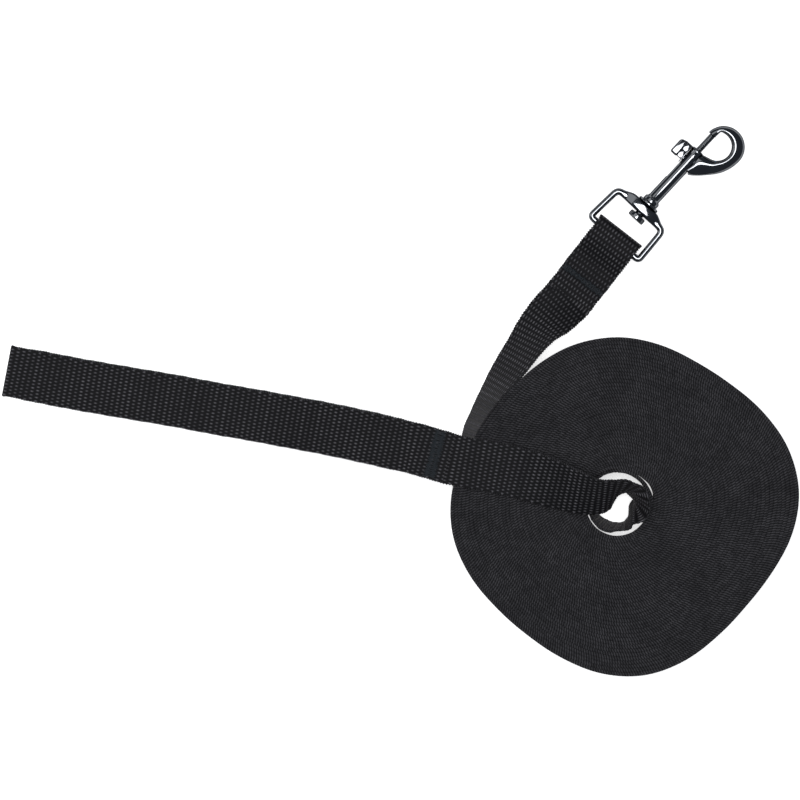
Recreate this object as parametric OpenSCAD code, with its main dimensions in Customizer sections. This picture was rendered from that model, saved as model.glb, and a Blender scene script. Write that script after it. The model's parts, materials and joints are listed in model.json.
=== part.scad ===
// Long training leash: flat webbing wound on edge into a roll, with a sewn hand loop
// at one end and a swivel bolt snap at the other. Millimetres, +Z up.
// The origin is on the floor, under the middle of the whole object.
// The hand loop points to -X, the roll lies at +X, the snap lies at +X +Y.

/* [Webbing] */
// Width of the strap
web_w = 20; // [15:1:25]
// Thickness of one layer of the strap
web_t = 1.3; // [1:0.1:1.6]
// Gap kept between layers that touch on the real strap
layer_gap = 0.06; // [0.02:0.01:0.1]

/* [Roll] */
// Mean radius of the roll
roll_r = 65; // [60:0.1:66]
// How far the roll's outline swells at its four blunt corners
corner_swell = 2.2; // [0:0.1:4]
// How far the roll's outline swells at its two ends
oval_swell = 0.95; // [0:0.05:2]
// How far the roll's outline swells on three sides
side_swell = 0.65; // [0:0.05:2]
// How far the outline draws in where the lead leaves the roll
lead_dip = 1; // [0:0.1:1.5]
// Inner radius of the innermost full turn
core_r = 12.5; // [11:0.1:13]

/* [Eye] */
// Width of the eye at the bar that holds the webbing
eye_w = 28.2; // [27:0.1:32]
// Width of the eye at its boss
eye_boss_w = 26.4; // [24:0.1:28]
// Thickness of the eye's side bars
eye_bar_d = 2.6; // [2.2:0.1:3]
// How far the eye's bore lies off the middle of its boss
eye_offset = 0.75; // [0:0.05:1]
// Length of the boss along the swivel axis
boss_l = 4.45; // [3.5:0.05:5]
// Height of the boss
boss_h = 5; // [4.6:0.1:7]

/* [Snap] */
// Diameter of the barrel
barrel_d = 5.1; // [5:0.1:6]
// Length of the barrel in front of its collar
barrel_l = 26.2; // [24:0.1:27]
// Diameter of the barrel's rear collar
collar_d = 6.7; // [6:0.1:8]
// Length of the collar
collar_l = 2.3; // [2:0.1:3]
// Diameter of the swivel washer
washer_d = 9.1; // [8:0.1:9.5]
// Thickness of the swivel washer
washer_t = 1; // [0.6:0.1:1.2]
// Thickness of the hook
hook_t = 5.4; // [5:0.1:6]
// Radius of the hook's outer bend
hook_r = 8.3; // [8:0.1:8.6]
// Radius of the hook's opening
mouth_r = 5.7; // [5:0.1:5.8]
// Diameter of the stud's head
stud_head_d = 7; // [6:0.1:8]

/* [Bolt] */
// Diameter of the bolt's pin
pin_d = 2.4; // [2.2:0.1:2.4]
// Diameter of the bolt's piston
piston_d = 3.5; // [3:0.1:3.5]
// Radial running clearance of pin and piston
run_fit = 0.05; // [0.03:0.01:0.08]
// How far the bolt slides back
bolt_travel = 8.5; // [7:0.1:9]
// Length of the thumb knob's head along the barrel
knob_l = 7.3; // [6:0.1:8]
// How far the knob's head stands out from the barrel's axis
knob_reach = 8.2; // [7:0.1:9]

/* [Hidden] */

WEB_COLOR = [0.11, 0.11, 0.12];
THREAD_COLOR = [0.16, 0.18, 0.2];
CHROME_COLOR = [0.8, 0.81, 0.83];
STEEL_COLOR = [0.62, 0.63, 0.65];

eps = 0.01;
layer = web_t + layer_gap;       // pitch of stacked layers

// Roll: where its middle, its hole and its innermost turn lie on the floor
roll_at = [87.5, -41.25];
hole_at = [85.95, -40.4];
core_at = [85.3, -40.9];
hole_r = core_r + web_t + 0.9;
oval_angle = 12;                 // direction of one end of the roll's outline
side_angle = 20;                 // direction of the first of the three sides
corner_angle = 6.5;              // direction of the first blunt corner
dip_angle = 151;                 // direction of the lead's start
dip_spread = 15;

// Snap: rear end of the barrel on the floor plan and heading of its axis.
// It rests on the washer's rim and the hook's tip, so the axis dips to the front.
snap_at = [99.4, 78.8];
snap_heading = 47.1;
hook_tip = 33.9 + hook_r;        // furthest point of the hook along the axis
washer_mid = -collar_l - washer_t / 2;
snap_tilt = asin((washer_d - hook_t) / 2 / (hook_tip - washer_mid));
snap_z = washer_d / 2 * cos(snap_tilt) + (washer_mid + washer_t / 2) * sin(snap_tilt);

// Stations along the swivel axis, from the barrel's rear end
boss_front = -collar_l - washer_t - run_fit;
boss_rear = boss_front - boss_l;
bar_at = -21.6;                  // bar in the webbing fold
bar_z = snap_z - bar_at * sin(snap_tilt);
stud_neck = 0.7;                 // play between boss and stud head
stud_head_l = 2.2;
stud_front = 0.5;                // stud's end inside the barrel
bore_d = piston_d + 2 * run_fit; // spring chamber, also the stud's seat
guide_d = pin_d + 2 * run_fit;
piston_rear = 17.6;
piston_front = 22;
chamber_end = piston_front + 0.5;
pin_tip = 34.2;
hook_nose = 34.3;

// Hook: middles of its outer bend and of its opening, as [along, sideways]
hook_mid = [33.9, -6.3];
mouth_mid = [32.4, -4.2];
mouth_edge = -pin_d / 2 - 0.1;   // side of the opening that the bolt closes

// Thumb knob
stem = [2.9, 1.9];               // length and width of the stem
stem_at = 18.9;                  // rear face of the stem
slot_w = stem[1] + 0.2;
knob_from = 18.5;
saddle = [8, 0.4, 4];
saddle_y = barrel_d / 2 + run_fit;

// Webbing fold, seen from its side: distances from the bar's middle
fold_heading = snap_heading + 5;
fold_shift = 0.5;                // sideways, to the knob's side
fold_rise = 2.25;                // layer's middle above or below the bar's middle
fold_nose = 1.6;                 // middle of the end bend, in front of the bar
fold_back = 30;                  // where the fold's lower layer begins
fold_end = 23.5;                 // where the upper layer is cut off
fold_drop = 0.8;                 // how much lower the strap lies there
seam_at = 21;                    // seam, behind the bar

// Routes of the free stretches: x, y, z and lean of the strap from flat.
// A positive lean lifts the edge on the left of the route.
OVER_ROUTE = [
    [24.6, -24.15, 20.95, 0], [34, -25.8, 20.95, 0], [44, -27.9, 21.3, 3],
    [54, -30.8, 22.9, 13], [62.5, -33.6, 25, 25]
];
RISE_ROUTE = [
    [62.5, -33.6, 25, 25], [70, -36.2, 26.8, 36], [77, -37.9, 27.4, 45],
    [82.8, -37.2, 26.2, 57], [86.8, -35.8, 24, 75], [90.4, -35.8, 21.4, 80],
    [92.4, -38, 18.6, 69], [93, -41.4, 16, 67], [90.9, -44.5, 13.8, 77],
    [89.2, -47.6, 12.2, 83], [86.4, -49.5, 11.2, 85], [82.9, -49.9, 10.6, 80],
    [79.5, -48.6, 10.3, 78.5], [76.1, -45.4, 10.1, 82.5]
];
LOOP_ROUTE = [
    [23.8, -24, 20.95, 0], [17, -22.4, 20.4, 0], [4, -18.6, 17.6, 0],
    [-12, -14.8, 13.4, 0], [-28, -11.4, 8.8, 0], [-43, -8.6, 4.7, 0],
    [-57, -6, 2, 0], [-72, -3.4, 0.8, 0], [-89, -0.2, 0.66, 0],
    [-108, 3, 0.66, 0], [-127, 6.3, 0.66, 0], [-140, 8.8, 0.66, 0],
    [-153.2, 11.3, 0.66, 0]
];
LEAD_ROUTE = [
    [26.7, -14.05, 10.05, -76.5], [30.3, -6.4, 9.95, -72.5], [35.7, 2.9, 9.65, -65.5],
    [42, 12.1, 9.15, -55], [47.95, 20.2, 8.4, -48], [54, 27.9, 6.65, -36],
    [60, 33.8, 4.5, -17]
];
loop_rings = 2;                  // rings per stretch of a route
tack_from = 11.8;                // bar tack of the hand loop, along X
tack_w = 4.2;
loop_cut = 19.4;                 // cut end of the loop's upper layer

function unit(v) = v / norm(v);

// Catmull-Rom curve through four stations, u from 0 to 1 between b and c
function spline_at(a, b, c, d, u) =
    (2 * b + (c - a) * u + (2 * a - 5 * b + 4 * c - d) * u ^ 2
        + (3 * b - a - 3 * c + d) * u ^ 3) / 2;

// A route's stations with n steps between each two
function smooth_route(p, n) = [
    for (i = [0 : len(p) - 2], k = [0 : n - 1])
        spline_at(
            i > 0 ? p[i - 1] : 2 * p[0] - p[1], p[i], p[i + 1],
            i < len(p) - 2 ? p[i + 2] : 2 * p[i + 1] - p[i], k / n
        ),
    p[len(p) - 1]
];

function place(q) = [q[0], q[1], q[2]];
function along(p, i) = unit(place(p[min(i + 1, len(p) - 1)]) - place(p[max(i - 1, 0)]));

// Four corners of the strap's cross-section at station i, lifted by a distance
// at right angles to the strap
function strap_ring(p, i, lift) =
    let (
        t = along(p, i),
        left = unit(cross([0, 0, 1], t)),
        across = cos(p[i][3]) * left + sin(p[i][3]) * cross(t, left),
        normal = cross(t, across)
    )
    [
        for (c = [[1, 1], [-1, 1], [-1, -1], [1, -1]])
            place(p[i]) + across * c[0] * web_w / 2 + normal * (lift + c[1] * web_t / 2)
    ];

// A strap swept along a route
module ribbon(route, n, lift = 0) {
    p = smooth_route(route, n);
    last = len(p) - 1;
    sides = [
        for (i = [0 : last - 1], k = [0 : 3])
            let (a = 4 * i, b = a + 4, m = (k + 1) % 4)
            each [[a + k, b + k, b + m], [a + k, b + m, a + m]]
    ];
    caps = [[0, 1, 2], [0, 2, 3], [4 * last + 2, 4 * last + 1, 4 * last],
        [4 * last + 3, 4 * last + 2, 4 * last]];
    polyhedron([for (i = [0 : last]) each strap_ring(p, i, lift)], concat(sides, caps));
}

// Radius of the roll's outline: nearly round, with four blunt corners
function outline_r(a) =
    roll_r + oval_swell * cos(2 * (a - oval_angle))
        + side_swell * cos(3 * (a - side_angle))
        + corner_swell * cos(4 * (a - corner_angle))
        - lead_dip * exp(-((a - dip_angle) / dip_spread) ^ 2);

module roll_outline() {
    polygon([
        for (a = [0 : 5 : 355])
            roll_at + outline_r(a) * [cos(a), sin(a)]
    ]);
}

// The wound turns as one body, standing on their edges
module strap_roll() {
    color(WEB_COLOR)
    linear_extrude(web_w)
    difference() {
        roll_outline();
        translate(hole_at) circle(hole_r, $fn = 96);
    }
}

// Innermost full turn, which stands off from the others on one side
module inner_turn() {
    color(WEB_COLOR)
    translate(core_at)
    difference() {
        cylinder(web_w, r = core_r + web_t, $fn = 96);
        translate([0, 0, -eps]) cylinder(web_w + 2 * eps, r = core_r, $fn = 96);
    }
}

// Last loose turn, rising out of the hole as it twists from its edge to flat
module core_rise() {
    color(WEB_COLOR) ribbon(RISE_ROUTE, 3);
}

// Single layer that crosses the top of the roll
module strap_over_roll() {
    color(WEB_COLOR) ribbon(OVER_ROUTE, 3);
}

// Layer of the hand loop that lies on the floor
module loop_lower() {
    color(WEB_COLOR) ribbon(LOOP_ROUTE, loop_rings);
}

// Layer of the hand loop that is folded back over the lower one and sewn to it
module loop_upper() {
    fold = LOOP_ROUTE[len(LOOP_ROUTE) - 1];
    before = LOOP_ROUTE[len(LOOP_ROUTE) - 2];
    cut = [for (q = LOOP_ROUTE) if (q[0] < tack_from + tack_w) q];
    color(WEB_COLOR) {
        ribbon(concat([[loop_cut, -23, 20.65, 0]], cut), loop_rings, layer);
        translate(place(fold) + [0, 0, layer / 2])
        rotate(atan2(fold[1] - before[1], fold[0] - before[0]))
        fold_bend();
    }
}

// Half-round bend that joins the loop's two layers at its far end
module fold_bend() {
    r = (layer + web_t) / 2;
    rotate([90, 0, 0])
    translate([0, 0, -web_w / 2])
    rotate_extrude(angle = 180, start = -90, $fn = 48)
    square([r, web_w]);
}

// One row of thread that goes through both layers, with its stitches side by side
module stitches(count, pitch, size) {
    for (i = [0 : count - 1])
        translate([0, (i - (count - 1) / 2) * pitch, 0]) cube(size, center = true);
}

// Bar tack that closes the hand loop
module loop_stitching() {
    color(THREAD_COLOR)
    translate([tack_from + tack_w / 2, -21.5, 20.55])
    rotate([0, -9, -15.5])
    stitches(9, 2, [tack_w, 1.1, 2 * layer + 0.5]);
}

// Strap from the outside of the roll to the fold, twisting from its edge to flat
module lead_strap() {
    color(WEB_COLOR) ribbon(concat(LEAD_ROUTE, [lead_end()]), 3);
}

// Point on the middle of the fold's lower layer, s in front of the bar
function fold_point(s) =
    let (
        bar = snap_at + bar_at * cos(snap_tilt) * [cos(snap_heading), sin(snap_heading)],
        side = fold_shift * [cos(snap_heading + 90), sin(snap_heading + 90)]
    )
    concat(bar + side + s * [cos(fold_heading), sin(fold_heading)], [bar_z]);

// Station where the lead meets the fold's lower layer
function lead_end() = concat(
    place(fold_point(-fold_back - eps)) - [0, 0, fold_rise + fold_drop], [0]
);

// Height of the fold's lower layer: level at the bar, lower where the strap lies
function lower_z(s) =
    -fold_rise - fold_drop * (1 - cos(180 * min(1, max(0, (-s - 4) / (fold_back - 8))))) / 2;

// Height of its upper layer: level at the bar, then down onto the lower one
function upper_z(s) =
    let (u = min(1, max(0, (-s - 2.5) / 11)), onto = lower_z(s) + layer)
    onto + (fold_rise - onto) * (1 + cos(180 * u)) / 2;

// Middle line of the fold from its start to its cut end
function fold_line() = concat(
    [for (s = [-fold_back : 2 : 0]) [s, lower_z(s)]],
    [for (a = [-90 : 15 : 90]) [fold_nose + fold_rise * cos(a), fold_rise * sin(a)]],
    [for (s = [0 : -1.5 : -fold_end]) [s, upper_z(s)]]
);

// Outline of the strap along a middle line
function band(p) =
    let (
        n = [
            for (i = [0 : len(p) - 1])
                let (t = unit(p[min(i + 1, len(p) - 1)] - p[max(i - 1, 0)]))
                [-t[1], t[0]] * web_t / 2
        ]
    )
    concat(p + n, [for (i = [len(p) - 1 : -1 : 0]) p[i] - n[i]]);

module in_fold_frame() {
    translate(fold_point(0)) rotate(fold_heading) children();
}

// Fold of the strap round the eye's bar, with the cut end laid back on top
module snap_fold() {
    color(WEB_COLOR)
    in_fold_frame()
    rotate([90, 0, 0])
    linear_extrude(web_w, center = true)
    polygon(band(fold_line()));
}

// Seam that closes the fold
module fold_stitching() {
    color(THREAD_COLOR)
    in_fold_frame()
    translate([-seam_at, 0, lower_z(-seam_at) + layer / 2])
    stitches(9, 2, [2.4, 1.1, 2 * layer + 0.5]);
}

// Snap's own frame: X along the barrel to the hook, Y towards the knob
module in_snap_frame() {
    translate([snap_at[0], snap_at[1], snap_z])
    rotate([0, snap_tilt, snap_heading])
    children();
}

// Cylinder along X
module rod(from, to, d) {
    translate([from, 0, 0]) rotate([0, 90, 0]) cylinder(to - from, d = d, $fn = 64);
}

// Four-sided plate with rounded corners, wider at its rear
module eye_plate(rear, front, rear_w, front_w, r) {
    linear_extrude(eye_bar_d, center = true)
    hull()
    for (side = [-1, 1]) {
        translate([rear + r, side * (rear_w / 2 - r)]) circle(r, $fn = 24);
        translate([front - r, side * (front_w / 2 - r)]) circle(r, $fn = 24);
    }
}

// Ring that joins webbing and snap: round bar at the rear, bored boss in front
module swivel_eye() {
    rear = bar_at - eye_bar_d / 2;
    gap_w = eye_w - 2 * eye_bar_d;
    color(CHROME_COLOR)
    in_snap_frame()
    difference() {
        union() {
            translate([0, eye_offset, 0]) {
                difference() {
                    eye_plate(rear, boss_front - 0.4, eye_w, eye_boss_w, 2.6);
                    eye_plate(rear - 5, boss_rear, gap_w + 0.5, eye_boss_w - 2 * eye_bar_d, 0.8);
                }
                translate([bar_at, 0, 0])
                rotate([90, 0, 0])
                cylinder(gap_w + 1, d = eye_bar_d, center = true, $fn = 64);
            }
            translate([boss_rear, -6, -boss_h / 2]) cube([boss_l, 12, boss_h]);
        }
        rod(boss_rear - 1, boss_front + 1, bore_d + 2 * run_fit);
    }
}

// Outline of hook and web, seen from above in the snap's frame
module hook_outline() {
    difference() {
        union() {
            translate(hook_mid) circle(hook_r, $fn = 96);
            polygon([
                [16, 0], [16.2, -3.6], [19.6, -7.4], [23.2, -10.7], [26.4, -12.8],
                [29.6, -14], [32, -14.2], [34, -6], [barrel_l, -1]
            ]);
        }
        intersection() {
            translate(mouth_mid) circle(mouth_r, $fn = 96);
            translate([20, mouth_edge - 20]) square([25, 20]);
        }
        translate([barrel_l, mouth_edge - eps]) square([hook_nose - barrel_l, 10]);
    }
}

// Collar and barrel, with the slot in which the knob's stem slides
module slotted_barrel() {
    slot_from = stem_at - bolt_travel - 0.2;
    slot_to = stem_at + stem[0] + 0.2;
    difference() {
        union() {
            rod(-collar_l, 0, collar_d);
            rod(-eps, barrel_l, barrel_d);
        }
        translate([slot_from, 1, -slot_w / 2]) cube([slot_to - slot_from, 4, slot_w]);
    }
}

// Casting of collar, barrel, web and hook, bored for stud, spring and bolt
module snap_body() {
    color(CHROME_COLOR)
    in_snap_frame()
    difference() {
        union() {
            slotted_barrel();
            linear_extrude(hook_t, center = true) hook_outline();
        }
        rod(-collar_l - 1, chamber_end, bore_d);
        rod(chamber_end - eps, barrel_l + 1, guide_d);
    }
}

// Headed stud on which the eye turns; it closes the barrel's rear end
module swivel_stud() {
    neck_end = boss_rear - stud_neck;
    color(STEEL_COLOR)
    in_snap_frame() {
        rod(neck_end - stud_head_l, neck_end, stud_head_d);
        rod(neck_end - eps, stud_front, bore_d);
    }
}

// Washer between the eye's boss and the collar
module swivel_washer() {
    color(CHROME_COLOR)
    in_snap_frame()
    difference() {
        rod(-collar_l - washer_t, -collar_l, washer_d);
        rod(-collar_l - washer_t - 1, 0, bore_d);
    }
}

module knob_stem() {
    translate([stem_at, 0.4, -stem[1] / 2]) cube([stem[0], saddle_y, stem[1]]);
}

// Bolt that closes the hook
module bolt_pin() {
    color(STEEL_COLOR)
    in_snap_frame()
    difference() {
        union() {
            rod(piston_rear, piston_front, piston_d);
            rod(piston_front - eps, pin_tip, pin_d);
        }
        knob_stem();
    }
}

// Knob that pulls the bolt back: stem, saddle on the barrel, waisted head
module thumb_knob() {
    head_y = saddle_y + saddle[1];
    top_r = 2.2;
    waist_y = 5;
    waist_l = 3.6;
    waist_in = 0.5;
    waist_w = 3;
    head_w = 4.8;
    color(CHROME_COLOR)
    in_snap_frame() {
        knob_stem();
        translate([knob_from - 0.8, saddle_y, -saddle[2] / 2]) cube(saddle);
        translate([knob_from + waist_in, head_y - eps, -waist_w / 2])
        cube([knob_l - 1, waist_y - head_y + 1, waist_w]);
        linear_extrude(head_w, center = true) {
            translate([knob_from, waist_y]) square([knob_l - top_r, knob_reach - waist_y]);
            translate([knob_from + waist_l, head_y - eps])
            square([knob_l - waist_l, knob_reach - head_y - top_r]);
            translate([knob_from + knob_l - top_r, knob_reach - top_r]) circle(top_r, $fn = 48);
        }
    }
}

// Compression spring behind the bolt, its ends on the stud and the piston
module bolt_spring() {
    wire = 0.4;
    mid_r = 1.45;
    turns = 12;
    per_turn = 14;
    sides = 6;
    from = stud_front + wire / 2 + 0.05;
    to = piston_rear - wire / 2 - 0.05;
    steps = turns * per_turn;
    ring = function(i) [
        for (k = [0 : sides - 1])
            let (a = 360 * i / per_turn, b = 360 * k / sides, r = mid_r + wire / 2 * cos(b))
            [from + (to - from) * i / steps + wire / 2 * sin(b), r * cos(a), r * sin(a)]
    ];
    walls = [
        for (i = [0 : steps - 1], k = [0 : sides - 1])
            let (a = sides * i, b = a + sides, m = (k + 1) % sides)
            each [[a + k, a + m, b + m], [a + k, b + m, b + k]]
    ];
    ends = [
        for (k = [1 : sides - 2])
            each [[0, k + 1, k], sides * steps * [1, 1, 1] + [0, k, k + 1]]
    ];
    color(STEEL_COLOR)
    in_snap_frame()
    polyhedron([for (i = [0 : steps]) each ring(i)], concat(walls, ends));
}

strap_roll();
inner_turn();
core_rise();
strap_over_roll();
loop_lower();
loop_upper();
loop_stitching();
lead_strap();
snap_fold();
fold_stitching();
swivel_eye();
snap_body();
swivel_stud();
swivel_washer();
bolt_pin();
thumb_knob();
bolt_spring();
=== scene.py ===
"""Training leash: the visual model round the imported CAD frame.

One continuous webbing strap runs from the cut end of the hand loop, round the loop,
over the roll, down into its middle, out through the wound turns, along the lead and
round the eye of the swivel snap. Its path is built once, in millimetres, and each
piece of webbing is a stretch of it, so the weave runs on from piece to piece.
"""

import json
import math

import bmesh
import bpy
import numpy as np
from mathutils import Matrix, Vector

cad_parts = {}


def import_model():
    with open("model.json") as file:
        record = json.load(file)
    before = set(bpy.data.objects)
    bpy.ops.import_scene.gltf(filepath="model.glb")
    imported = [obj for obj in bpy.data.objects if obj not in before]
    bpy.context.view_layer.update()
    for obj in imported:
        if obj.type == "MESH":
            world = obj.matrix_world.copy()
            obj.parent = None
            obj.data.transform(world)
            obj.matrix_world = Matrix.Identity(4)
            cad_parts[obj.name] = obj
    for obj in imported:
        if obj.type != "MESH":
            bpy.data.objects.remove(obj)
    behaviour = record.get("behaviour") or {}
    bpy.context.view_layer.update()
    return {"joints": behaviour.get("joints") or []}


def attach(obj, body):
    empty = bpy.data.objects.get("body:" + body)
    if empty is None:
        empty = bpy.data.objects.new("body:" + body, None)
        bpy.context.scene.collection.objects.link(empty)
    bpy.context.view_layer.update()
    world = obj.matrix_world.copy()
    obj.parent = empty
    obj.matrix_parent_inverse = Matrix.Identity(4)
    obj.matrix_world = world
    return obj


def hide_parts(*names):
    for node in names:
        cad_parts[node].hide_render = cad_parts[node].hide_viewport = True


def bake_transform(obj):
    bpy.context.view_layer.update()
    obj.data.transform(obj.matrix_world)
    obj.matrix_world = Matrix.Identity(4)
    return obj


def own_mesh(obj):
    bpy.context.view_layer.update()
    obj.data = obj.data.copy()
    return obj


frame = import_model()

MM = 0.001

# ---------------------------------------------------------------- the strap
WEB_W = 20.0  # width of the strap
WEB_T = 1.3  # thickness of one layer
LAYER = 1.36  # pitch of stacked layers
WEFT = 2.1  # pitch of the weave's rows along the strap
YARNS = 28  # warp yarns across the strap
RELIEF = 0.26  # depth of the weave
STEP = WEFT / 6  # length of one mesh step on a free stretch
EDGE_V = 2  # width of one selvedge, counted in yarns
FACE_V = YARNS + EDGE_V  # one face and one selvedge, counted in yarns

# ---------------------------------------------------------------- the roll
ROLL_AT = np.array([87.5, -41.25])  # middle of the roll's outline
CORE_AT = np.array([85.3, -40.9])  # middle of its hole
ROLL_R = 65.0  # mean radius of the outline
CORE_R = 12.5  # radius of the hole
TURNS = 36  # wound turns round the innermost one
ROLL_STEP = 1.0  # length of one mesh step in the roll
ROLL_Z = WEB_W / 2  # height of the strap's middle line in the roll

# Where the strap joins the wound turns and where it leaves them, as directions
# from the roll's middle. The turns run clockwise as seen from above, and step out
# by one layer under the hand loop's strap, so the outermost one is the outline
JOIN_ANGLE = 185.0
LEAVE_ANGLE = 174.0

# Stations of the free stretches, as in the CAD: x, y, z, lean from flat. The lead's
# lean is counted on from the roll's 90, to 180 where it lies flat again, and the lead
# hugs the roll a little closer than the CAD's plain strap does
LOOP_ROUTE = [
    [23.8, -24, 20.95, 0], [17, -22.4, 20.4, 0], [4, -18.6, 17.6, 0],
    [-12, -14.8, 13.4, 0], [-28, -11.4, 8.8, 0], [-43, -8.6, 4.7, 0],
    [-57, -6, 2, 0], [-72, -3.4, 0.8, 0], [-89, -0.2, 0.66, 0],
    [-108, 3, 0.66, 0], [-127, 6.3, 0.66, 0], [-140, 8.8, 0.66, 0],
    [-153.2, 11.3, 0.66, 0],
]
OVER_ROUTE = [
    [34, -25.8, 20.95, 0], [44, -27.9, 21.3, 3], [54, -30.8, 22.9, 13],
    [62.5, -33.6, 25, 25], [70, -36.2, 26.8, 36], [77, -37.9, 27.4, 45],
    [82.8, -37.2, 26.2, 57], [86.8, -35.8, 24, 75], [90.4, -35.8, 21.4, 80],
    [92.4, -38, 18.6, 69], [93, -41.4, 16, 67], [90.9, -44.5, 13.8, 77],
    [89.2, -47.6, 12.2, 83], [86.4, -49.5, 11.2, 85], [82.9, -49.9, 10.6, 80],
    [79.5, -48.6, 10.3, 78.5], [76.1, -45.4, 10.1, 82.5],
]
LEAD_ROUTE = [
    [27.15, -14.27, 10.05, 105], [30.66, -6.58, 9.95, 109.3], [36.08, 2.67, 9.65, 116.4],
    [42.4, 11.8, 9.15, 127.6], [48.15, 20.05, 8.4, 133], [54, 27.9, 6.65, 144],
    [60, 33.8, 4.5, 163],
]
LOOP_CUT = 19.4  # cut end of the loop's upper layer, along X
TACK_AT = 5.7  # middle of the bar tack, along the strap from that cut end
CROSS_SEAM = 37.0  # where the hand loop's piece ends on top of the roll, along X
LEAD_SEAM = 30.0  # how far back along the strap the lead's piece starts in the roll

# Snap, in its own frame from the swivel joint: X runs along the barrel to the hook,
# Z is up
JOINTS = {j["name"]: j for j in frame["joints"]}
SNAP_X = np.array(JOINTS["snap_swivel"]["axis"])
SNAP_Y = np.cross([0, 0, 1], SNAP_X)
SNAP_Y = SNAP_Y / np.linalg.norm(SNAP_Y)
SNAP_Z = np.cross(SNAP_X, SNAP_Y)
SNAP_AT = np.array(JOINTS["snap_swivel"]["pos_m"]) / MM
BAR_AT = np.array(JOINTS["eye_pivot"]["pos_m"]) / MM
HEADING = math.degrees(math.atan2(SNAP_X[1], SNAP_X[0]))

BARREL_R = 2.55  # outside of the barrel
BORE_R = 1.85  # bore for the piston and the spring
NOSE_BORE_R = 1.25  # bore for the pin at the barrel's nose
STUD_R = 1.8
PISTON_R = 1.75
PIN_R = 1.2
PISTON_BACK = 17.6  # rear face of the piston, along the barrel
PISTON_FRONT = 22.0  # its front face, where the slot ends too

# Fold of the strap round the eye's bar
FOLD_HEADING = HEADING + 5  # direction from the lead to the bar
FOLD_SHIFT = 0.5  # how far the fold lies to the bar's left end
FOLD_RISE = 2.25  # the strap's middle line over and under the bar's middle
FOLD_NOSE = 1.6  # middle of the bend, in front of the bar
FOLD_BACK = 30.0  # where the fold begins, behind the bar
FOLD_END = 23.5  # cut end of the upper layer, behind the bar
FOLD_SEAM = 21.0  # seam through both layers, behind the bar
FOLD_DROP = 0.8  # how much lower the strap lies at the fold's beginning


def heading(angle):
    """Level unit vector in a direction, in degrees."""
    return np.array([math.cos(math.radians(angle)), math.sin(math.radians(angle))])


def smooth(x):
    """Ramp from 0 to 1 while x goes from 0 to 1, level at both ends."""
    x = np.clip(x, 0, 1)
    return x * x * (3 - 2 * x)


def ripple(s, *waves):
    """Sum of sines of s: (amplitude, wavelength) each. It stands for small unevenness."""
    return sum(a * np.sin(2 * math.pi * s / w + 3.1 * k) for k, (a, w) in enumerate(waves))


# ---------------------------------------------------------------- curves
def spline(stations, steps=24):
    """Catmull-Rom curve through stations, with that many points between each two."""
    p = np.array(stations, float)
    p = np.vstack([2 * p[0] - p[1], p, 2 * p[-1] - p[-2]])
    u = np.arange(steps)[:, None] / steps
    runs = [
        (2 * b + (c - a) * u + (2 * a - 5 * b + 4 * c - d) * u**2 + (3 * b - a - 3 * c + d) * u**3) / 2
        for a, b, c, d in zip(p, p[1:], p[2:], p[3:])
    ]
    return np.vstack(runs + [p[-2:-1]])


def unit(v):
    return v / np.linalg.norm(v, axis=-1, keepdims=True)


def tangents(p):
    return unit(np.gradient(p, axis=0))


def leaned(curve):
    """Points and across vectors of a curve whose fourth value is the strap's lean."""
    p, lean = curve[:, :3], np.radians(curve[:, 3:])
    t = tangents(p)
    left = unit(np.cross([0, 0, 1], t))
    return p, np.cos(lean) * left + np.sin(lean) * np.cross(t, left)


class Path:
    """The strap's middle line: points, across vectors and length along it."""

    def __init__(self, parts):
        self.p = np.vstack([p for p, _ in parts])
        self.a = np.vstack([np.broadcast_to(a, p.shape) for p, a in parts])
        gap = np.linalg.norm(np.diff(self.p, axis=0), axis=1)
        keep = np.concatenate([[True], gap > 1e-4])
        self.p, self.a = self.p[keep], self.a[keep]
        gap = np.linalg.norm(np.diff(self.p, axis=0), axis=1)
        self.s = np.concatenate([[0], np.cumsum(gap)])

    def read(self, values, s):
        """Values of the path's points, read between them at each length s."""
        return np.stack([np.interp(s, self.s, column) for column in values.T], axis=-1)

    def at(self, s):
        """Point, along, across and normal vectors at each length s."""
        reach = 0.2
        t = unit(self.read(self.p, s + reach) - self.read(self.p, s - reach))
        a = self.read(self.a, s)
        a = unit(a - (a * t).sum(-1, keepdims=True) * t)
        return self.read(self.p, s), t, a, np.cross(t, a)

    def stations(self, start, end):
        """Lengths from start to end, one STEP apart, and closer in a tight bend."""
        probe, turn_per_step = 0.05, 0.18
        s = np.linspace(start, end, max(2, round((end - start) / probe)))
        t = self.at(s)[1]
        bend = np.linalg.norm(np.gradient(t, s, axis=0), axis=1)
        pace = np.maximum(1 / STEP, bend / turn_per_step)
        count = np.concatenate([[0], np.cumsum((pace[1:] + pace[:-1]) / 2 * np.diff(s))])
        return np.interp(np.linspace(0, count[-1], round(count[-1]) + 2), count, s)


# ---------------------------------------------------------------- the strap's path
def hump(angle, middle, width, blunt=2):
    """1 in one direction and falling to 0 on both sides of it; blunter with 4."""
    return np.exp(-(((angle - middle) / width) ** blunt))


def outline_r(angle):
    """Radius of the roll's outline: nearly round, with four blunt corners."""
    def swell(size, corners, first):
        return size * np.cos(np.radians(corners * (angle - first)))

    dip = hump(angle, 151, 15)
    return ROLL_R + swell(0.95, 2, 12) + swell(0.65, 3, 20) + swell(2.2, 4, 6.5) - dip


def layer(angle):
    """Spacing of the wound turns in a direction from the roll's middle."""
    a = np.radians(angle)
    shift = (ROLL_AT - CORE_AT) @ np.array([np.cos(a), np.sin(a)])
    return (outline_r(angle) + shift - CORE_R - 2 * WEB_T) / (TURNS - 1)


def polar(at, r, angle):
    """Points at a radius and in a direction from a middle."""
    a = np.radians(angle)
    return at + np.stack([r * np.cos(a), r * np.sin(a)], axis=-1)


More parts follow.
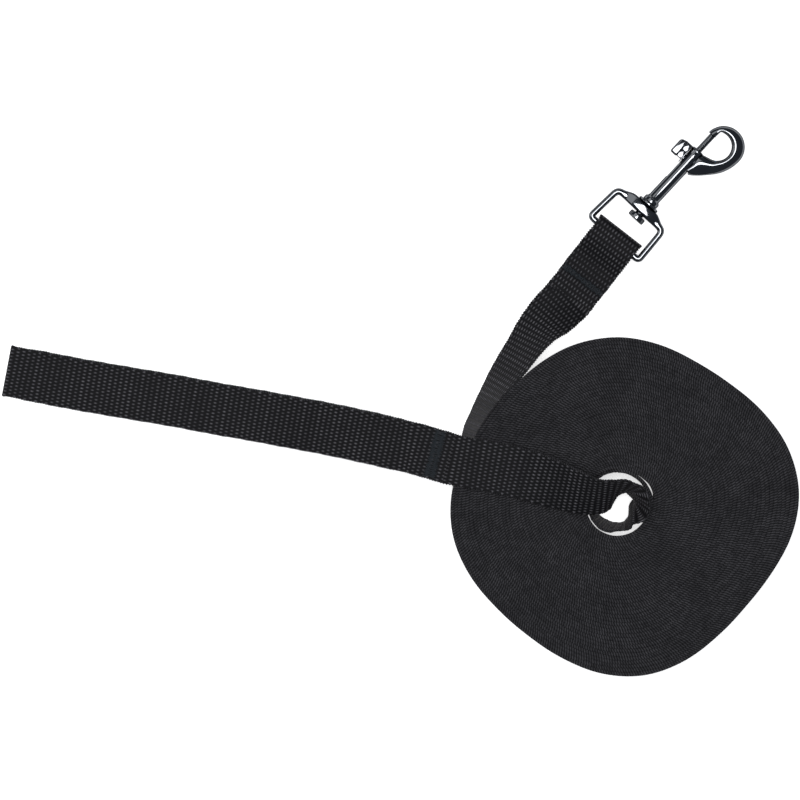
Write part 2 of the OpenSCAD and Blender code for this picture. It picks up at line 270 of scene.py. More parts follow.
def upper_layer():
    """Loop's upper layer from its cut end to the far fold, and the fold itself."""
    start = [LOOP_CUT, -23, 20.65, 0]
    route = [q for q in LOOP_ROUTE if q[0] < 16]
    p, a = leaned(spline([start] + route))
    up = np.cross(tangents(p), a)

    # It lies beside the lower layer by a little, on one side and then on the other
    shift = (0.45 * smooth((6 - p[:, :1]) / 8) - 0.15) * smooth((p[:, :1] + 153) / 12)
    top = p + up * LAYER + a * shift
    t, r = tangents(p)[-1], LAYER / 2
    turn = np.radians(np.arange(80, -90, -10))[:, None]
    middle = (p[-1] + top[-1]) / 2
    bend = middle + t * r * 1.3 * np.cos(turn) + up[-1] * r * np.sin(turn)
    return [(top, -a), (bend, -a[-1])]


def lower_layer_and_rise():
    """Loop's lower layer back to the roll, over it and down to its innermost turn."""
    lower = LOOP_ROUTE[::-1] + OVER_ROUTE

    # From the route's end on to the wall of the hole, clockwise
    inner = [
        list(polar(CORE_AT, r, angle)) + [10.02, 90]
        for angle, r in ((180, 11.6), (158, 12.6), (136, 13.05), (116, 13.15), (104, 13.15))
    ]
    p, a = leaned(spline(lower + inner))
    side = 0.3 * smooth((4 - p[:, :1]) / 12) * smooth((p[:, :1] + 153) / 12)
    return [(p + a * side, a)]


def wound_turns():
    """Innermost turn and the wound turns, clockwise from the inside out."""
    up = np.array([0, 0, 1.0])
    angle = np.arange(103.0, JOIN_ANGLE - 360, -2)
    ring = polar(CORE_AT, CORE_R + WEB_T / 2, angle)

    first, last = JOIN_ANGLE - 360, LEAVE_ANGLE - 360 * (TURNS + 1)
    angle = np.arange(first - 1, last, -1.0)

    # Near both ends of the winding, each turn steps out by one layer in its first
    # twentieth and then keeps its place. Between them the turns widen steadily
    left = (angle - last) / 360  # turns left to the outer end
    whole = np.floor(left) + smooth((left % 1 - 0.95) / 0.05)
    stepped = np.exp(-left / 12) + np.exp(-(TURNS - left) / 12)
    f = 1 - (stepped * whole + (1 - stepped) * left) / (TURNS - 1)

    # The first turn stands off the innermost one on one side of the hole, and the
    # outermost one bulges a little against the lead
    toward = angle % 360
    inside = CORE_R + 1.5 * WEB_T + 0.05 + 0.95 * hump(toward, 25, 24)
    outside = outline_r(toward) - WEB_T / 2 + 0.1 + 0.2 * hump(toward, 143, 12, blunt=4)
    turn = polar(0, inside + (outside - inside) * f, angle)
    turn = turn + CORE_AT + (ROLL_AT - CORE_AT) * f[:, None]
    flat = np.vstack([ring, turn])
    wave = ripple(np.arange(len(flat)) * 1.0, (0.045, 41.0), (0.03, 17.3))
    flat = flat + wave[:, None] * unit(flat - CORE_AT)
    return [(np.column_stack([flat, np.full(len(flat), ROLL_Z)]), up)], flat[-1]


def fold_round_bar():
    """Middle line of the fold round the eye's bar, from the lead to its cut end."""
    x, y = heading(FOLD_HEADING), heading(FOLD_HEADING + 90)
    at = BAR_AT + FOLD_SHIFT * np.append(heading(HEADING + 90), 0)

    def lower(s):
        """Height of the layer that comes from the lead, at places behind the bar."""
        return -FOLD_RISE - FOLD_DROP * smooth((-s - 4) / (FOLD_BACK - 8))

    def upper(s):
        """Height of the layer that goes back over the bar and down on the first one."""
        onto = lower(s) + LAYER
        return onto + (FOLD_RISE - onto) * (1 - smooth((-s - 2.5) / 11))

    s = np.arange(-FOLD_BACK + 2, 0, 0.5)
    turn = np.radians(np.arange(-90, 91, 6))
    back = np.arange(-0.5, -FOLD_END, -0.5)
    line = np.vstack([
        np.column_stack([s, lower(s)]),
        np.column_stack([FOLD_NOSE + FOLD_RISE * np.cos(turn), FOLD_RISE * np.sin(turn)]),
        np.column_stack([back, upper(back)]),
    ])
    p = at + np.column_stack([line[:, :1] * x, line[:, 1]])
    return [(p, -np.append(y, 0))]


def lead(roll_end):
    """From the end of the roll's outermost turn to the fold."""
    off_roll = [*roll_end, ROLL_Z, 90]
    x = heading(FOLD_HEADING)
    end = BAR_AT + FOLD_SHIFT * np.append(heading(HEADING + 90), 0)
    end = end - np.append(FOLD_BACK * x, FOLD_RISE + FOLD_DROP)
    halfway = end + np.append(1.5 * x, 0)
    last = [list(end) + [180], list(halfway) + [180]]
    return [leaned(spline([off_roll] + LEAD_ROUTE + last))]


turns, roll_end = wound_turns()
strap = Path(
    upper_layer() + lower_layer_and_rise() + turns + lead(roll_end) + fold_round_bar()
)


# ---------------------------------------------------------------- mesh helpers
def make(name, points, faces, material, ride=None, sharp=40):
    """Mesh object from points in millimetres; edges over so many degrees stay sharp."""
    mesh = bpy.data.meshes.new(name)
    mesh.from_pydata(np.asarray(points) * MM, [], faces)
    mesh.polygons.foreach_set("use_smooth", [True] * len(mesh.polygons))
    mesh.set_sharp_from_angle(angle=math.radians(sharp))
    mesh.materials.append(material)
    mesh.validate()
    piece = bpy.data.objects.new(name, mesh)
    bpy.context.scene.collection.objects.link(piece)
    if ride:
        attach(piece, ride)
    return piece


def grid_faces(rows, columns):
    """Quads between rings of points; they face out if the rings turn against the path."""
    i, k = np.meshgrid(np.arange(rows - 1), np.arange(columns), indexing="ij")
    here, following = i.ravel() * columns, (i.ravel() + 1) * columns
    k = k.ravel()
    m = (k + 1) % columns
    return np.stack([here + k, following + k, following + m, here + m], 1).tolist()


def tube_rings(centre, u, v, a, b, power=2.0, sides=40):
    """Rings of superellipses: half-widths a along u and b along v at each centre."""
    q = np.linspace(0, 2 * math.pi, sides, endpoint=False)
    power = np.broadcast_to(power, len(centre))[:, None]

    def reach(half, wave, direction):
        size = np.broadcast_to(half, len(centre))[:, None]
        size = size * (np.sign(wave) * np.abs(wave) ** (2 / power))
        return size[..., None] * np.broadcast_to(direction, centre.shape)[:, None]

    return centre[:, None] + reach(a, np.cos(q), u) + reach(b, np.sin(q), v)


def capped(rings, closed_path=False):
    """Points and faces of a tube; its ends are closed unless it is a loop."""
    rows, columns = rings.shape[:2]
    points = rings.reshape(-1, 3)
    faces = grid_faces(rows, columns)
    if closed_path:
        last = (rows - 1) * columns
        faces += [
            [last + k, k, (k + 1) % columns, last + (k + 1) % columns] for k in range(columns)
        ]
    else:
        faces += [list(range(columns)), list(range(len(points) - 1, len(points) - columns - 1, -1))]
    return points, faces


def join(*shells):
    """One set of points and faces from several."""
    points, faces, first = [], [], 0
    for p, f in shells:
        points.append(p)
        faces += [[i + first for i in face] for face in f]
        first += len(p)
    return np.vstack(points), faces


def to_row(local):
    """Points from the snap's own frame to the row frame, in millimetres."""
    local = np.asarray(local, float)
    return SNAP_AT + local @ np.array([SNAP_X, SNAP_Y, SNAP_Z])


def lathe(profile, sides=72):
    """Closed body turned about the barrel's axis from (x, radius) pairs."""
    x, r = np.array(profile, float).T
    q = np.linspace(0, 2 * math.pi, sides, endpoint=False)
    ring = np.stack([np.cos(q), np.sin(q)], 1)
    points = np.empty((len(x), sides, 3))
    points[..., 0] = x[:, None]
    points[..., 1:] = r[:, None, None] * ring[None, ::-1]
    return capped(points)


def rounded(profile, radius, steps=5):
    """The (x, radius) outline with its inner corners replaced by arcs."""
    p = np.array(profile, float)
    out = [p[0]]
    for a, b, c in zip(p, p[1:], p[2:]):
        cut = min(radius, np.linalg.norm(a - b) / 2, np.linalg.norm(c - b) / 2)
        start, end = b + unit(a - b) * cut, b + unit(c - b) * cut
        for u in np.linspace(0, 1, steps):
            out.append((1 - u) ** 2 * start + 2 * u * (1 - u) * b + u**2 * end)
    return np.array(out + [p[-1]])


def block(low, high, bevel, segments=3):
    """Box with rounded edges, in the snap's frame."""
    bm = bmesh.new()
    bmesh.ops.create_cube(bm, size=1)
    low, high = Vector(low), Vector(high)
    for v in bm.verts:
        v.co = Vector([(l + h) / 2 + c * (h - l) for l, h, c in zip(low, high, v.co)])
    bmesh.ops.bevel(bm, geom=bm.edges[:], offset=bevel, segments=segments, profile=0.5, affect="EDGES")
    bm.verts.index_update()
    points = np.array([v.co for v in bm.verts])
    faces = [[v.index for v in f.verts] for f in bm.faces]
    bm.free()
    return points, faces


# ---------------------------------------------------------------- materials
class Tree:
    """A material's node tree, with short calls for its nodes."""

    def __init__(self, name):
        self.material = bpy.data.materials.new(name)
        self.material.use_nodes = True
        self.nodes, self.links = self.material.node_tree.nodes, self.material.node_tree.links
        self.shader = self.nodes["Principled BSDF"]

    def put(self, socket, value):
        if isinstance(value, bpy.types.NodeSocket):
            self.links.new(value, socket)
        else:
            socket.default_value = value

    def node(self, kind, output=0, settings=None, **inputs):
        n = self.nodes.new(kind)
        for key, value in (settings or {}).items():
            setattr(n, key, value)
        for key, value in inputs.items():
            self.put(n.inputs[key.replace("_", " ")], value)
        return n.outputs[output]

    def math(self, operation, *values, clamp=False):
        n = self.nodes.new("ShaderNodeMath")
        n.operation, n.use_clamp = operation, clamp
        for socket, value in zip(n.inputs, values):
            self.put(socket, value)
        return n.outputs[0]

    def mix(self, factor, a, b):
        n = self.nodes.new("ShaderNodeMix")
        n.data_type = "RGBA"
        self.put(n.inputs["Factor"], factor)
        self.put(n.inputs["A"], a)
        self.put(n.inputs["B"], b)
        return n.outputs["Result"]

    def noise(self, scale, detail=2.0, vector=None):
        inputs = {"Scale": scale, "Detail": detail}
        if vector is not None:
            inputs["Vector"] = vector
        else:
            inputs["Vector"] = self.node("ShaderNodeTexCoord", output="Object")
        return self.node("ShaderNodeTexNoise", **inputs)

    def bump(self, height, distance, strength=1.0):
        normal = self.node(
            "ShaderNodeBump", Height=height, Distance=distance, Strength=strength
        )
        self.put(self.shader.inputs["Normal"], normal)

    def set(self, **inputs):
        for key, value in inputs.items():
            self.put(self.shader.inputs[key.replace("_", " ")], value)
        return self.material


def webbing_material():
    """Plain weave in the strap's own coordinates: rows along it, yarns across it. Its colour is
    painted lighter on the knuckles' crowns and darker in the hollows between them: painted highlight
    and painted shade.
    """
    t = Tree("webbing")
    weave = t.node("ShaderNodeAttribute", output="Vector", settings={"attribute_name": "weave"})
    split = t.nodes.new("ShaderNodeSeparateXYZ")
    t.put(split.inputs[0], weave)
    row, v = split.outputs[0], t.math("MODULO", split.outputs[1], FACE_V)
    yarn, across = t.math("FLOOR", v), t.math("FRACT", v)

    # On a face: each yarn lies over every second row
    over = t.math("COSINE", t.math("MULTIPLY", t.math("ADD", row, yarn), math.pi))
    over = t.math("POWER", t.math("MAXIMUM", over, 0.0), 3.2)
    bulge = t.math("POWER", t.math("SINE", t.math("MULTIPLY", across, math.pi)), 0.55)
    knuckle = t.math("MULTIPLY", over, bulge)

    # On a selvedge: slanting weft loops, two to a row
    on_edge = t.math("GREATER_THAN", v, float(YARNS))
    slant = t.math("MULTIPLY", t.math("SUBTRACT", v, YARNS + EDGE_V / 2), 0.45)
    turn = t.math("ADD", t.math("MULTIPLY", row, 2.0), slant)
    loop = t.math("MULTIPLY_ADD", t.math("SINE", t.math("MULTIPLY", turn, 2 * math.pi)), 0.5, 0.5)
    side = t.math("SINE", t.math("MULTIPLY", t.math("SUBTRACT", v, float(YARNS)), math.pi / EDGE_V))
    loop = t.math("MULTIPLY", loop, t.math("MULTIPLY_ADD", side, 0.25, 0.75))
    crown = t.node("ShaderNodeMix", **{"Factor": on_edge, "A": knuckle, "B": loop})

    # Each knuckle and loop catches the light differently
    count = t.math("ROUND", t.math("MULTIPLY", row, t.math("ADD", on_edge, 1.0)))
    place = t.node("ShaderNodeCombineXYZ", X=t.math("MULTIPLY", count, 7.3), Y=yarn)
    chance = t.node("ShaderNodeTexWhiteNoise", Vector=place)
    whole_row = t.node("ShaderNodeCombineXYZ", X=t.math("ROUND", row))
    row_chance = t.node("ShaderNodeTexWhiteNoise", Vector=whole_row)
    streaks = t.node(
        "ShaderNodeCombineXYZ", X=t.math("MULTIPLY", row, 1.3), Y=t.math("MULTIPLY", v, 5.0)
    )
    fibres = t.noise(1.0, 2.0, streaks)
    patches = t.noise(70.0, 3.0)
    light = t.math("MULTIPLY", crown, t.math("MULTIPLY_ADD", chance, 0.35, 0.6))
    light = t.math("MULTIPLY", light, t.math("MULTIPLY_ADD", row_chance, 0.5, 0.75))
    light = t.math("MULTIPLY", light, t.math("MULTIPLY_ADD", fibres, 0.7, 0.65))
    light = t.math("MULTIPLY", light, t.math("MULTIPLY_ADD", patches, 0.8, 0.6), clamp=True)
    light = t.math("MULTIPLY", light, t.math("SUBTRACT", 1.0, t.math("MULTIPLY", on_edge, 0.57)))
    t.bump(t.math("MULTIPLY_ADD", fibres, 0.15, crown), 0.00025, 0.7)
    # Painted shade for the weave's hollows and painted highlight for its crowns, mixed by the crowns'
    # height
    painted_shade, lit = (0.0045, 0.0045, 0.0053, 1), (0.1, 0.098, 0.107, 1)
    return t.set(
        Base_Color=t.mix(light, painted_shade, lit),
        Roughness=t.math("MULTIPLY_ADD", fibres, 0.25, 0.5),
        Specular_IOR_Level=0.08,
        Sheen_Weight=0.05,
        Sheen_Roughness=0.4,
        Sheen_Tint=(1.0, 0.9, 0.92, 1),
    )


def thread_material():
    """Sewing thread: fine twisted fibres, a little bluer than the webbing."""
    t = Tree("thread")
    spin = t.noise(1600.0, 2.0)
    t.bump(spin, 0.0001, 0.7)
    return t.set(
        Base_Color=t.mix(spin, (0.008, 0.0105, 0.0125, 1), (0.024, 0.029, 0.035, 1)),
        Roughness=t.math("MULTIPLY_ADD", spin, 0.3, 0.45),
        Specular_IOR_Level=0.2,
    )


def metal_material(name, dark, bright, rough, polish_marks):
    """Plated or bare metal: cloudy brightness, fine polishing marks."""
    t = Tree(name)
    cloud, marks = t.noise(160.0, 4.0), t.noise(900.0, 3.0)
    t.bump(t.math("MULTIPLY_ADD", marks, 0.2, cloud), 0.00002, polish_marks)
    return t.set(
        Base_Color=t.mix(cloud, (*dark, 1), (*bright, 1)),
        Metallic=1.0,
        Specular_Tint=(0.03, 0.032, 0.035, 1),
        Roughness=t.math("MULTIPLY_ADD", marks, 0.1, rough),
    )


webbing = webbing_material()
thread = thread_material()
plated = metal_material("plated", (0.095, 0.1, 0.108), (0.15, 0.155, 0.162), 0.04, 0.12)
steel = metal_material("steel", (0.13, 0.13, 0.135), (0.2, 0.2, 0.205), 0.12, 0.15)


# ---------------------------------------------------------------- webbing
def section():
    """The strap's cross-section: yarn coordinate, across and normal of each point."""
    columns_per_yarn = 2
    v = np.arange(YARNS * columns_per_yarn + 1) / columns_per_yarn
    flat = WEB_W / 2 - 0.35
    face = np.column_stack([v, flat * (2 * v / YARNS - 1), np.ones(len(v))])
    selvedge = [[YARNS + 0.7, flat + 0.3, 0.45], [YARNS + 1.3, flat + 0.3, -0.45]]
    return both_faces(np.vstack([face, selvedge]))


def both_faces(half):
    """A face with its selvedge, and the same turned over for the strap's other face."""
    return np.vstack([half, half * [1, -1, -1] + [FACE_V, 0, 0]])


def weave_height(row, v):
    """Height of the weave's surface at a row and yarn coordinate, from 0 to 1."""
    v = v % FACE_V
    yarn = np.floor(np.minimum(v, YARNS - 0.5))
    over = np.cos(np.pi * (row + yarn))
    centre = np.abs(np.sin(np.pi * v))
    return np.where(v > YARNS, 0.3, np.where(centre > 0.5, 0.5 + 0.5 * over, 0.3))


def cut_edge(s):
    """Share of the full thickness: the strap's heat-cut ends are pressed thin."""
    from_end = np.minimum(s, strap.s[-1] - s)
    return 0.45 + 0.55 * smooth(from_end / 1.8)


def free_lie(s):
    """Section, width and thickness where the strap lies free, with its weave modelled."""
    shape = section()
    v, across, side = shape.T
    row = s[:, None] / WEFT
    thick = side * (WEB_T / 2 - RELIEF * (1 - weave_height(row, v))) * cut_edge(s)[:, None]
    weft_loops = 0.024 * np.cos(4 * np.pi * row) + ripple(row, (0.006, 5.3), (0.005, 2.2))
    return shape, across * np.where(np.abs(across) > WEB_W / 2 - 1, 1 + weft_loops, 1), thick


def wound_lie(s):
    """The same in the roll, where the upper selvedge stands a little unevenly."""
    shape = roll_section()
    across, side = shape[:, 1], shape[:, 2]
    out = strap.at(s)[0][:, :2] - ROLL_AT
    thick = side * layer(np.degrees(np.arctan2(out[:, 1], out[:, 0])))[:, None] / 2
    stand = ripple(s, (0.09, 97.0), (0.07, 41.7), (0.06, 13.1)) - 0.2
    return shape, across + np.where(across > 0, stand[:, None], 0), thick


def webbing_piece(name, s, lie):
    """The stretch of the strap through the lengths s along it."""
    shape, wide, thick = lie(s)
    p, _, a, n = strap.at(s)
    rings = p[:, None] + a[:, None] * wide[..., None] + n[:, None] * thick[..., None]
    piece = make(name, *capped(rings), webbing, sharp=75)
    add_weave(piece, s / WEFT, shape[:, 0])
    return piece


def roll_section():
    """Cross-section for the wound turns: plain faces, rounded selvedges.

    It is a little thicker than the turns' spacing, so no light falls between them.
    """
    flat, top = WEB_W / 2 - 0.5, WEB_W / 2
    face = [[0, -flat, 1.06], [YARNS, flat, 1.06]]
    selvedge = [
        [YARNS + 0.2, top - 0.16, 1.09], [YARNS + 0.5, top, 0.8],
        [YARNS + 1.5, top, -0.8], [YARNS + 1.8, top - 0.16, -1.09],
    ]
    return both_faces(np.array(face + selvedge))


def add_weave(piece, row, v):
    """Stores row and yarn coordinates at the corners of the strap's quads."""
    columns = len(v)
    after = np.append(v[1:], 2 * FACE_V)
    corners = np.zeros((len(row) - 1, columns, 4, 3))
    corners[..., 0] = np.stack([row[:-1], row[1:], row[1:], row[:-1]], -1)[:, None]
    corners[..., 1] = np.stack([v, v, after, after], -1)
    ends = np.zeros((2 * columns, 3))
    values = np.vstack([corners.reshape(-1, 3), ends])
    attribute = piece.data.attributes.new("weave", "FLOAT_VECTOR", "CORNER")
    attribute.data.foreach_set("vector", values.astype(np.float32).ravel())


def length_at(passed, after):
    """Length of the strap at the first point past a length for which passed is true."""
    return strap.s[np.argmax(passed & (strap.s > after))]


# Lengths where one piece of webbing ends and the next begins: on top of the roll, on
# the innermost turn once the strap has gone down into the hole, and on the outermost
x, y = strap.p[:, 0], strap.p[:, 1]
far_fold = strap.s[np.argmin(x)]
cross_s = length_at(x > CROSS_SEAM, far_fold)
down_s = cross_s + 60
inner_s = length_at((x > CORE_AT[0]) & (y > CORE_AT[1] + CORE_R - 1), down_s)
off_roll_s = length_at(np.hypot(x - ROLL_AT[0], y - ROLL_AT[1]) > ROLL_R + 4, cross_s)
lead_s = off_roll_s - LEAD_SEAM

loop_piece = webbing_piece("hand_loop_webbing", strap.stations(0, cross_s), free_lie)
crossing = webbing_piece("crossing_webbing", strap.stations(cross_s, inner_s), free_lie)
roll = webbing_piece("wound_webbing", np.arange(inner_s, lead_s, ROLL_STEP), wound_lie)
lead_piece = webbing_piece("lead_webbing", strap.stations(lead_s, strap.s[-1]), free_lie)

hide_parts("loop_lower", "loop_upper")
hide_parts("core_rise", "strap_over_roll")
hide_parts("strap_roll", "inner_turn")
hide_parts("lead_strap", "snap_fold")
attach(crossing, "roll")
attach(roll, "roll")
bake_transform(loop_piece)
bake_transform(lead_piece)


# ---------------------------------------------------------------- stitching
def on_strap(s, v, lift):
    """Points at lengths s and places v across, lifted off the strap's middle."""
    p, _, a, n = strap.at(np.asarray(s))
    return p + a * np.asarray(v)[:, None] + n * np.asarray(lift)[:, None]


def thread_run(s, v, low, high):
    """Zigzag thread through the corners (s, v); it dips at each of them."""
    steps, sides, radius = 6, 8, 0.18
    u = np.linspace(0, len(s) - 1, (len(s) - 1) * steps + 1)
    k = np.arange(len(s))
    lift = low + (high - low) * np.abs(np.sin(np.pi * u)) ** 0.5
    line = on_strap(np.interp(u, k, s), np.interp(u, k, v), lift)
    t = tangents(line)
    side = unit(np.cross(t, strap.at(np.interp(u, k, s))[3]))
    return capped(tube_rings(line, side, np.cross(side, t), radius, radius, sides=sides))


def zigzag(middle, width, slant, passes, top, bottom):
    """Seam across the strap: zigzags on the outer faces of its two layers."""
    count, reach = 25, WEB_W / 2 - 0.8
    shells = []
    for k in range(passes):
        v = np.linspace(-reach, reach, count)
        v = v + ripple(np.arange(count) + 7.0 * k, (0.09, 3.7))
        ends = np.where(np.arange(count) % 2 == k % 2, 0.5, -0.5) * width
        s = middle + ends + v * slant + ripple(np.arange(count) + 3.0 * k, (0.25, 5.3), (0.2, 2.3))
        shells.append(thread_run(s, v, *top))
        shells.append(thread_run(s, v, *bottom))
    return join(*shells)


# Each pair is two heights of the thread, off the middle of the layer with the cut end:
# where it dips into the webbing and where it stands out. The first pair is for that
# layer's outer face, the second for the other layer's
tack = make(
    "hand_loop_tack",
    *zigzag(TACK_AT, 4.9, 0.03, 3, (-0.35, -0.82), (LAYER + 0.35, LAYER + 0.8)),
    thread,
    "hand_loop",
)
fold_seam_s = strap.s[-1] - (FOLD_END - FOLD_SEAM)
seam = make(
    "snap_fold_seam",
    *zigzag(fold_seam_s, 2.3, 0.0, 2, (-0.35, -0.8), (LAYER + 0.35, LAYER + 0.78)),
    thread,
    "lead",
)
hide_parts("loop_stitching")
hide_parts("fold_stitching")


# ---------------------------------------------------------------- snap
def snap_piece(name, shell, material, body, node):
    """Piece from a shell in the snap's frame, on its body, in place of a CAD node."""
    points, faces = shell
    piece = make(name, to_row(points), faces, material, body)
    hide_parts(node)
    return piece


def circle_side(middle, r, angles):
    """Points of an outline on a circle, in these directions from its middle."""
    return [np.array(middle) + r * heading(a) for a in angles]


def hook_shell():
    """Hook and web: sections between an outer and an inner outline."""
    outer_mid, outer_r = (33.9, -6.3), 8.3
    mouth_mid, mouth_r = (32.4, -4.2), 5.7
    outer = [(34.3, 2.0), (36.4, 1.62)]
    outer += circle_side(outer_mid, outer_r, (50, 26, 4, -18, -40, -62, -84))
    outer += [
        (31.0, -14.3), (27.6, -13.3), (24.6, -11.7), (21.9, -9.5),
        (19.2, -7.0), (17.3, -4.9), (16.3, -3.4),
    ]
    inner = [(34.3, -1.28), (35.8, -1.34)]
    inner += circle_side(
        mouth_mid, mouth_r, (27, 12, -5, -24, -44, -64, -86, -103, -120, -137, -156)
    )
    inner += [(25.2, -1.0), (22.0, -0.9), (18.6, -0.9)]
    outer, inner = spline(outer, 8), spline(inner, 8)
    middle, reach = (outer + inner) / 2, outer - inner
    half = np.linalg.norm(reach, axis=1) / 2

    # Along the hook from its nose to the barrel: thickest round the mouth, and with a
    # sharper and sharper crest, which lies near the inner rim
    u = np.linspace(0, 1, len(middle))
    thick = np.interp(u, [0, 0.08, 0.2, 0.5, 0.7, 0.9, 1], [1.75, 2.3, 2.65, 2.7, 2.6, 2.2, 1.8])
    power = np.interp(u, [0, 0.15, 0.4, 0.6, 1], [2.4, 2, 1.9, 1.62, 1.62])
    side = np.column_stack([reach / (2 * half[:, None]), np.zeros(len(u))])
    centre = np.column_stack([middle, np.zeros(len(u))])
    rings = tube_rings(centre, side, np.array([0, 0, 1.0]), half, thick, power, 48)
    inward = 0.4 * half[:, None] * (rings[..., 2] / thick[:, None]) ** 2
    rings = rings - inward[..., None] * side[:, None] * smooth((1 - u) / 0.3)[:, None, None]

    # Rounded end of the nose: smaller copies of its first ring, pushed out
    nose = rings[0].mean(0)
    rounding = ((0.0, 0.12), (0.55, 0.12), (0.85, 0.08), (0.95, 0.03))
    tip = [nose + (rings[0] - nose) * scale - [out, 0, 0] for scale, out in rounding]
    return capped(np.concatenate([np.array(tip), rings]))


def barrel_shell():
    """Collar and barrel as one tube with the slot for the knob's stem."""
    slot_from, slot_to, slot_half = 10.2, PISTON_FRONT, 1.05
    profile = [
        (-2.3, 2.9), (-2.2, 3.15), (-2.0, 3.32), (-1.7, 3.35), (-0.7, 3.35), (-0.45, 3.3),
        (-0.25, 3.1), (0, 2.8), (0.3, 2.62), (0.7, BARREL_R), (5, BARREL_R),
        (slot_from, BARREL_R), (14, BARREL_R), (18, BARREL_R), (slot_to, BARREL_R),
        (24.6, BARREL_R), (24.7, 2.62), (25.6, 2.62), (25.95, 2.5), (26.15, 2.25), (26.2, 1.9),
    ]
    x, r = np.array(profile).T
    bore = np.where(x > slot_to + 0.4, NOSE_BORE_R, BORE_R)

    # Columns of points round the tube, the nearest ones moved to the slot's edges
    angles = np.linspace(0, 2 * math.pi, 72, endpoint=False)
    edge = math.asin(slot_half / BARREL_R)
    for side in (edge, -edge):
        nearest = np.argmin(np.abs(np.angle(np.exp(1j * (angles - side)))))
        angles[nearest] = side % (2 * math.pi)
    rows, columns = len(x), len(angles)
    points = np.empty((2, rows, columns, 3))
    points[..., 0] = x[:, None]
    ring = np.stack([np.cos(angles), -np.sin(angles)], 1)
    points[..., 1:] = np.stack([r, bore])[..., None, None] * ring

    # Cells of the tube that the slot leaves open
    middle = angles + (np.roll(angles, -1) - angles) % (2 * math.pi) / 2
    along = (x[:-1] >= slot_from) & (x[1:] <= slot_to)
    is_open = along[:, None] & (np.abs(np.angle(np.exp(1j * middle))) < edge)

    # Outer and inner face of each closed cell, and walls round the open ones
    faces, inside = [], rows * columns
    for i, k in np.ndindex(is_open.shape):
        here, following, m = i * columns, (i + 1) * columns, (k + 1) % columns
        a, b, c, d = here + k, following + k, following + m, here + m
        if not is_open[i, k]:
            faces += [[a, b, c, d], [j + inside for j in (d, c, b, a)]]
            continue
        around = (is_open[i - 1, k], is_open[i, m], is_open[i + 1, k], is_open[i, k - 1])
        for beyond, p, q in zip(around, (a, d, c, b), (d, c, b, a)):
            if not beyond:
                faces.append([p, q, q + inside, p + inside])

    # Rims at the rear and at the nose
    last = (rows - 1) * columns
    for k in range(columns):
        m = (k + 1) % columns
        faces.append([k + inside, k, m, m + inside])
        faces.append([last + k, last + k + inside, last + m + inside, last + m])
    return points.reshape(-1, 3), faces


def eye_line(rear, front, rear_y, front_y):
    """Closed middle line of the ring: a trapezoid with rounded corners."""
    corners = np.array([(rear, rear_y), (front, front_y), (front, -front_y), (rear, -rear_y)])
    bends = []
    for k, radius in enumerate((1.7, 2.6, 2.6, 1.7)):
        at = corners[k]
        start = at + unit(corners[k - 1] - at) * radius
        end = at + unit(corners[(k + 1) % 4] - at) * radius
        u = np.linspace(0, 1, 12)[:, None]
        bends.append((1 - u) ** 2 * start + 2 * u * (1 - u) * at + u * u * end)
    line = []
    for bend, following in zip(bends, bends[1:] + bends[:1]):
        u = np.linspace(0, 1, 24)[1:-1, None]
        line += [bend, bend[-1] + (following[0] - bend[-1]) * u]
    return np.vstack(line)


def eye_shell():
    """Ring round the webbing: round side bars and rear bar, crowned boss in front."""
    bar_r, shift = 1.3, 0.75
    line = eye_line(-21.6, -6.5, 14.1 - bar_r, 13.2 - bar_r)
    at_front = smooth((line[:, 0] + 9.5) / 2.6)
    boss = at_front * smooth((10.4 - np.abs(line[:, 1])) / 5.5)
    crown = at_front * np.clip(1 - (line[:, 1] / 7.6) ** 2, 0, 1)
    half = bar_r + 0.05 * at_front + (2.22 - bar_r) * boss
    height = bar_r + 0.1 * at_front + 1.12 * crown
    power = 2.0 + 2.6 * boss
    line[:, 0] += at_front * (half - bar_r)
    p = np.column_stack([line[:, 0], line[:, 1] + shift, np.zeros(len(line))])
    t = unit(np.roll(p, -1, 0) - np.roll(p, 1, 0))
    side = np.cross(t, [0, 0, 1.0])
    rings = tube_rings(p, side, np.array([0, 0, 1.0]), half, height, power, 40)
    return capped(rings, closed_path=True)


def knob_shell():
    """Thumb knob: head with a sloping front, stepped waist, saddle and stem."""
    points, faces = block((18.5, 4.95, -2.4), (25.8, 8.2, 2.4), 0.75, 5)
    top = np.clip((points[:, 1] - 5) / 3.2, 0, 1)
    points[:, 0] -= 1.1 * top**2 * np.clip((points[:, 0] - 22) / 3.8, 0, 1)
    return join(
        (points, faces),
        block((22.0, 2.9, -2.1), (25.7, 5.3, 2.1), 0.3),
        block((18.9, 2.9, -1.5), (22.6, 5.3, 1.5), 0.25),
        block((17.7, 2.62, -2.0), (25.7, 3.02, 2.0), 0.12, 2),
        block((18.9, 0.4, -0.95), (21.8, 3.0, 0.95), 0.1, 2),
    )


def rod_profile(*pairs, radius):
    """Outline of a solid rod from its (x, radius) corners, closed at the axis."""
    return rounded([(pairs[0][0], 0.01), *pairs, (pairs[-1][0], 0.01)], radius)


def spring_shell():
    """Coil spring between the stud and the piston."""
    turns, mid_r, wire = 12, 1.45, 0.2
    from_x, to_x = 0.75, PISTON_BACK - 0.25
    u = np.linspace(0, 1, turns * 24 + 1)
    q = 2 * math.pi * turns * u
    line = np.column_stack([from_x + (to_x - from_x) * u, mid_r * np.cos(q), mid_r * np.sin(q)])
    out = np.column_stack([0 * u, np.cos(q), np.sin(q)])
    side = np.cross(tangents(line), out)
    return capped(tube_rings(line, out, side, wire, wire, sides=10))


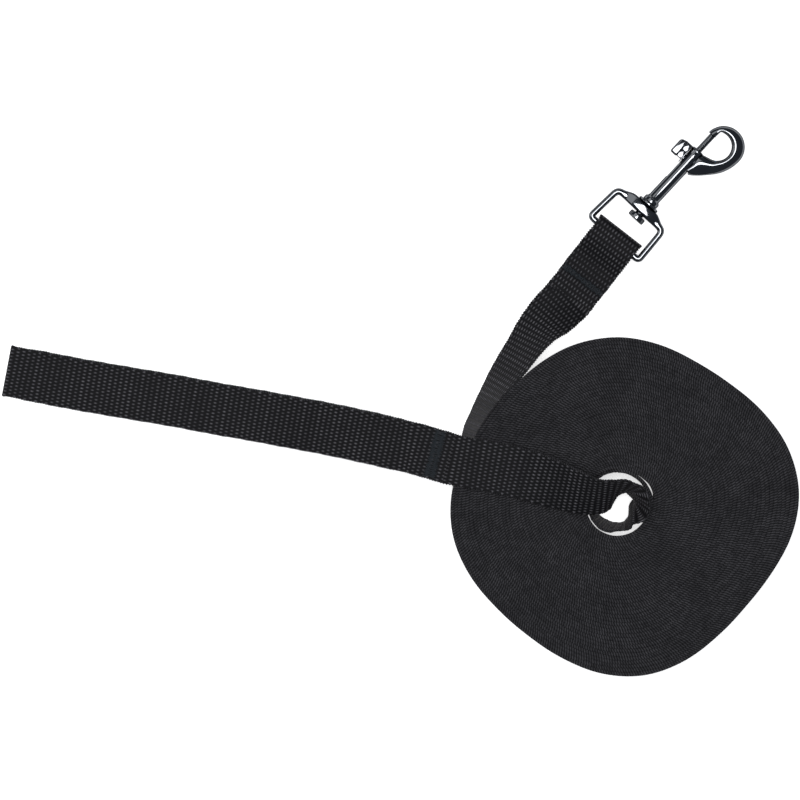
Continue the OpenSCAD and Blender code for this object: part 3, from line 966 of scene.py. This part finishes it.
casting = join(hook_shell(), barrel_shell())
snap_piece("snap_casting", casting, plated, "snap", "snap_body")
snap_piece("eye_casting", eye_shell(), plated, "eye", "swivel_eye")
stud = lathe(rod_profile((-10.7, 3.5), (-8.5, 3.5), (-8.5, STUD_R), (0.5, STUD_R), radius=0.45))
snap_piece("stud", stud, plated, "snap", "swivel_stud")
washer = lathe(rod_profile((-3.3, 4.55), (-2.3, 4.55), radius=0.3))
snap_piece("washer", washer, plated, "snap", "swivel_washer")
piston = (PISTON_BACK, PISTON_R), (PISTON_FRONT, PISTON_R)
pin = lathe(rod_profile(*piston, (PISTON_FRONT, PIN_R), (34.2, PIN_R), radius=0.3), 56)
snap_piece("pin", pin, plated, "bolt", "bolt_pin")
snap_piece("knob", knob_shell(), plated, "bolt", "thumb_knob")
spring = snap_piece("spring", spring_shell(), steel, "snap", "bolt_spring")
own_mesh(spring)


# ---------------------------------------------------------------- stage
def floor():
    """Pale floor; a little light of its own keeps it white under the soft lights."""
    t = Tree("floor")
    grain = t.noise(6.0, 3.0)
    t.set(
        Base_Color=t.mix(grain, (0.86, 0.86, 0.86, 1), (0.9, 0.9, 0.9, 1)),
        Roughness=0.7,
        Emission_Color=(1, 1, 1, 1),
        Emission_Strength=0.6,
    )
    size = 6000.0
    corners = [(-size, -size, 0), (size, -size, 0), (size, size, 0), (-size, size, 0)]
    plane = make("floor", corners, [[0, 1, 2, 3]], t.material)


def softbox(name, at, size, watts):
    """Area light that looks at the object's middle; its first side runs level."""
    light = bpy.data.lights.new(name, "AREA")
    light.shape, light.size, light.size_y, light.energy = "RECTANGLE", *size, watts
    lamp = bpy.data.objects.new(name, light)
    lamp.location = at
    lamp.rotation_euler = (-Vector(at)).to_track_quat("-Z", "Y").to_euler()
    bpy.context.scene.collection.objects.link(lamp)


def world():
    """Dim bluish surroundings, which show as the dark side of the chrome."""
    w = bpy.data.worlds.new("studio")
    w.use_nodes = True
    background = w.node_tree.nodes["Background"]
    background.inputs["Color"].default_value = (0.11, 0.125, 0.15, 1)
    bpy.context.scene.world = w


def camera():
    """Straight above the middle of the object, far off behind a long lens."""
    distance, across, middle = 6.0, 0.3137, 0.010
    data = bpy.data.cameras.new("camera")
    data.sensor_width = 36
    data.lens = data.sensor_width * distance / across
    data.clip_start, data.clip_end = 0.1, 50
    cam = bpy.data.objects.new("camera", data)
    cam.location = (0, 0, middle + distance)
    bpy.context.scene.collection.objects.link(cam)
    bpy.context.scene.camera = cam


floor()
world()

# The default view transform turns black webbing and white floor both to grey
bpy.context.scene.view_settings.view_transform = "Standard"
softbox("top", (0.0, 0.0, 6.6), (2.7, 2.7), 325)
softbox("key", (-0.6, 0.6, 1.3), (2.0, 0.8), 7)
softbox("side", (-1.30, 0.45, 0.60), (0.8, 0.5), 3)
camera()
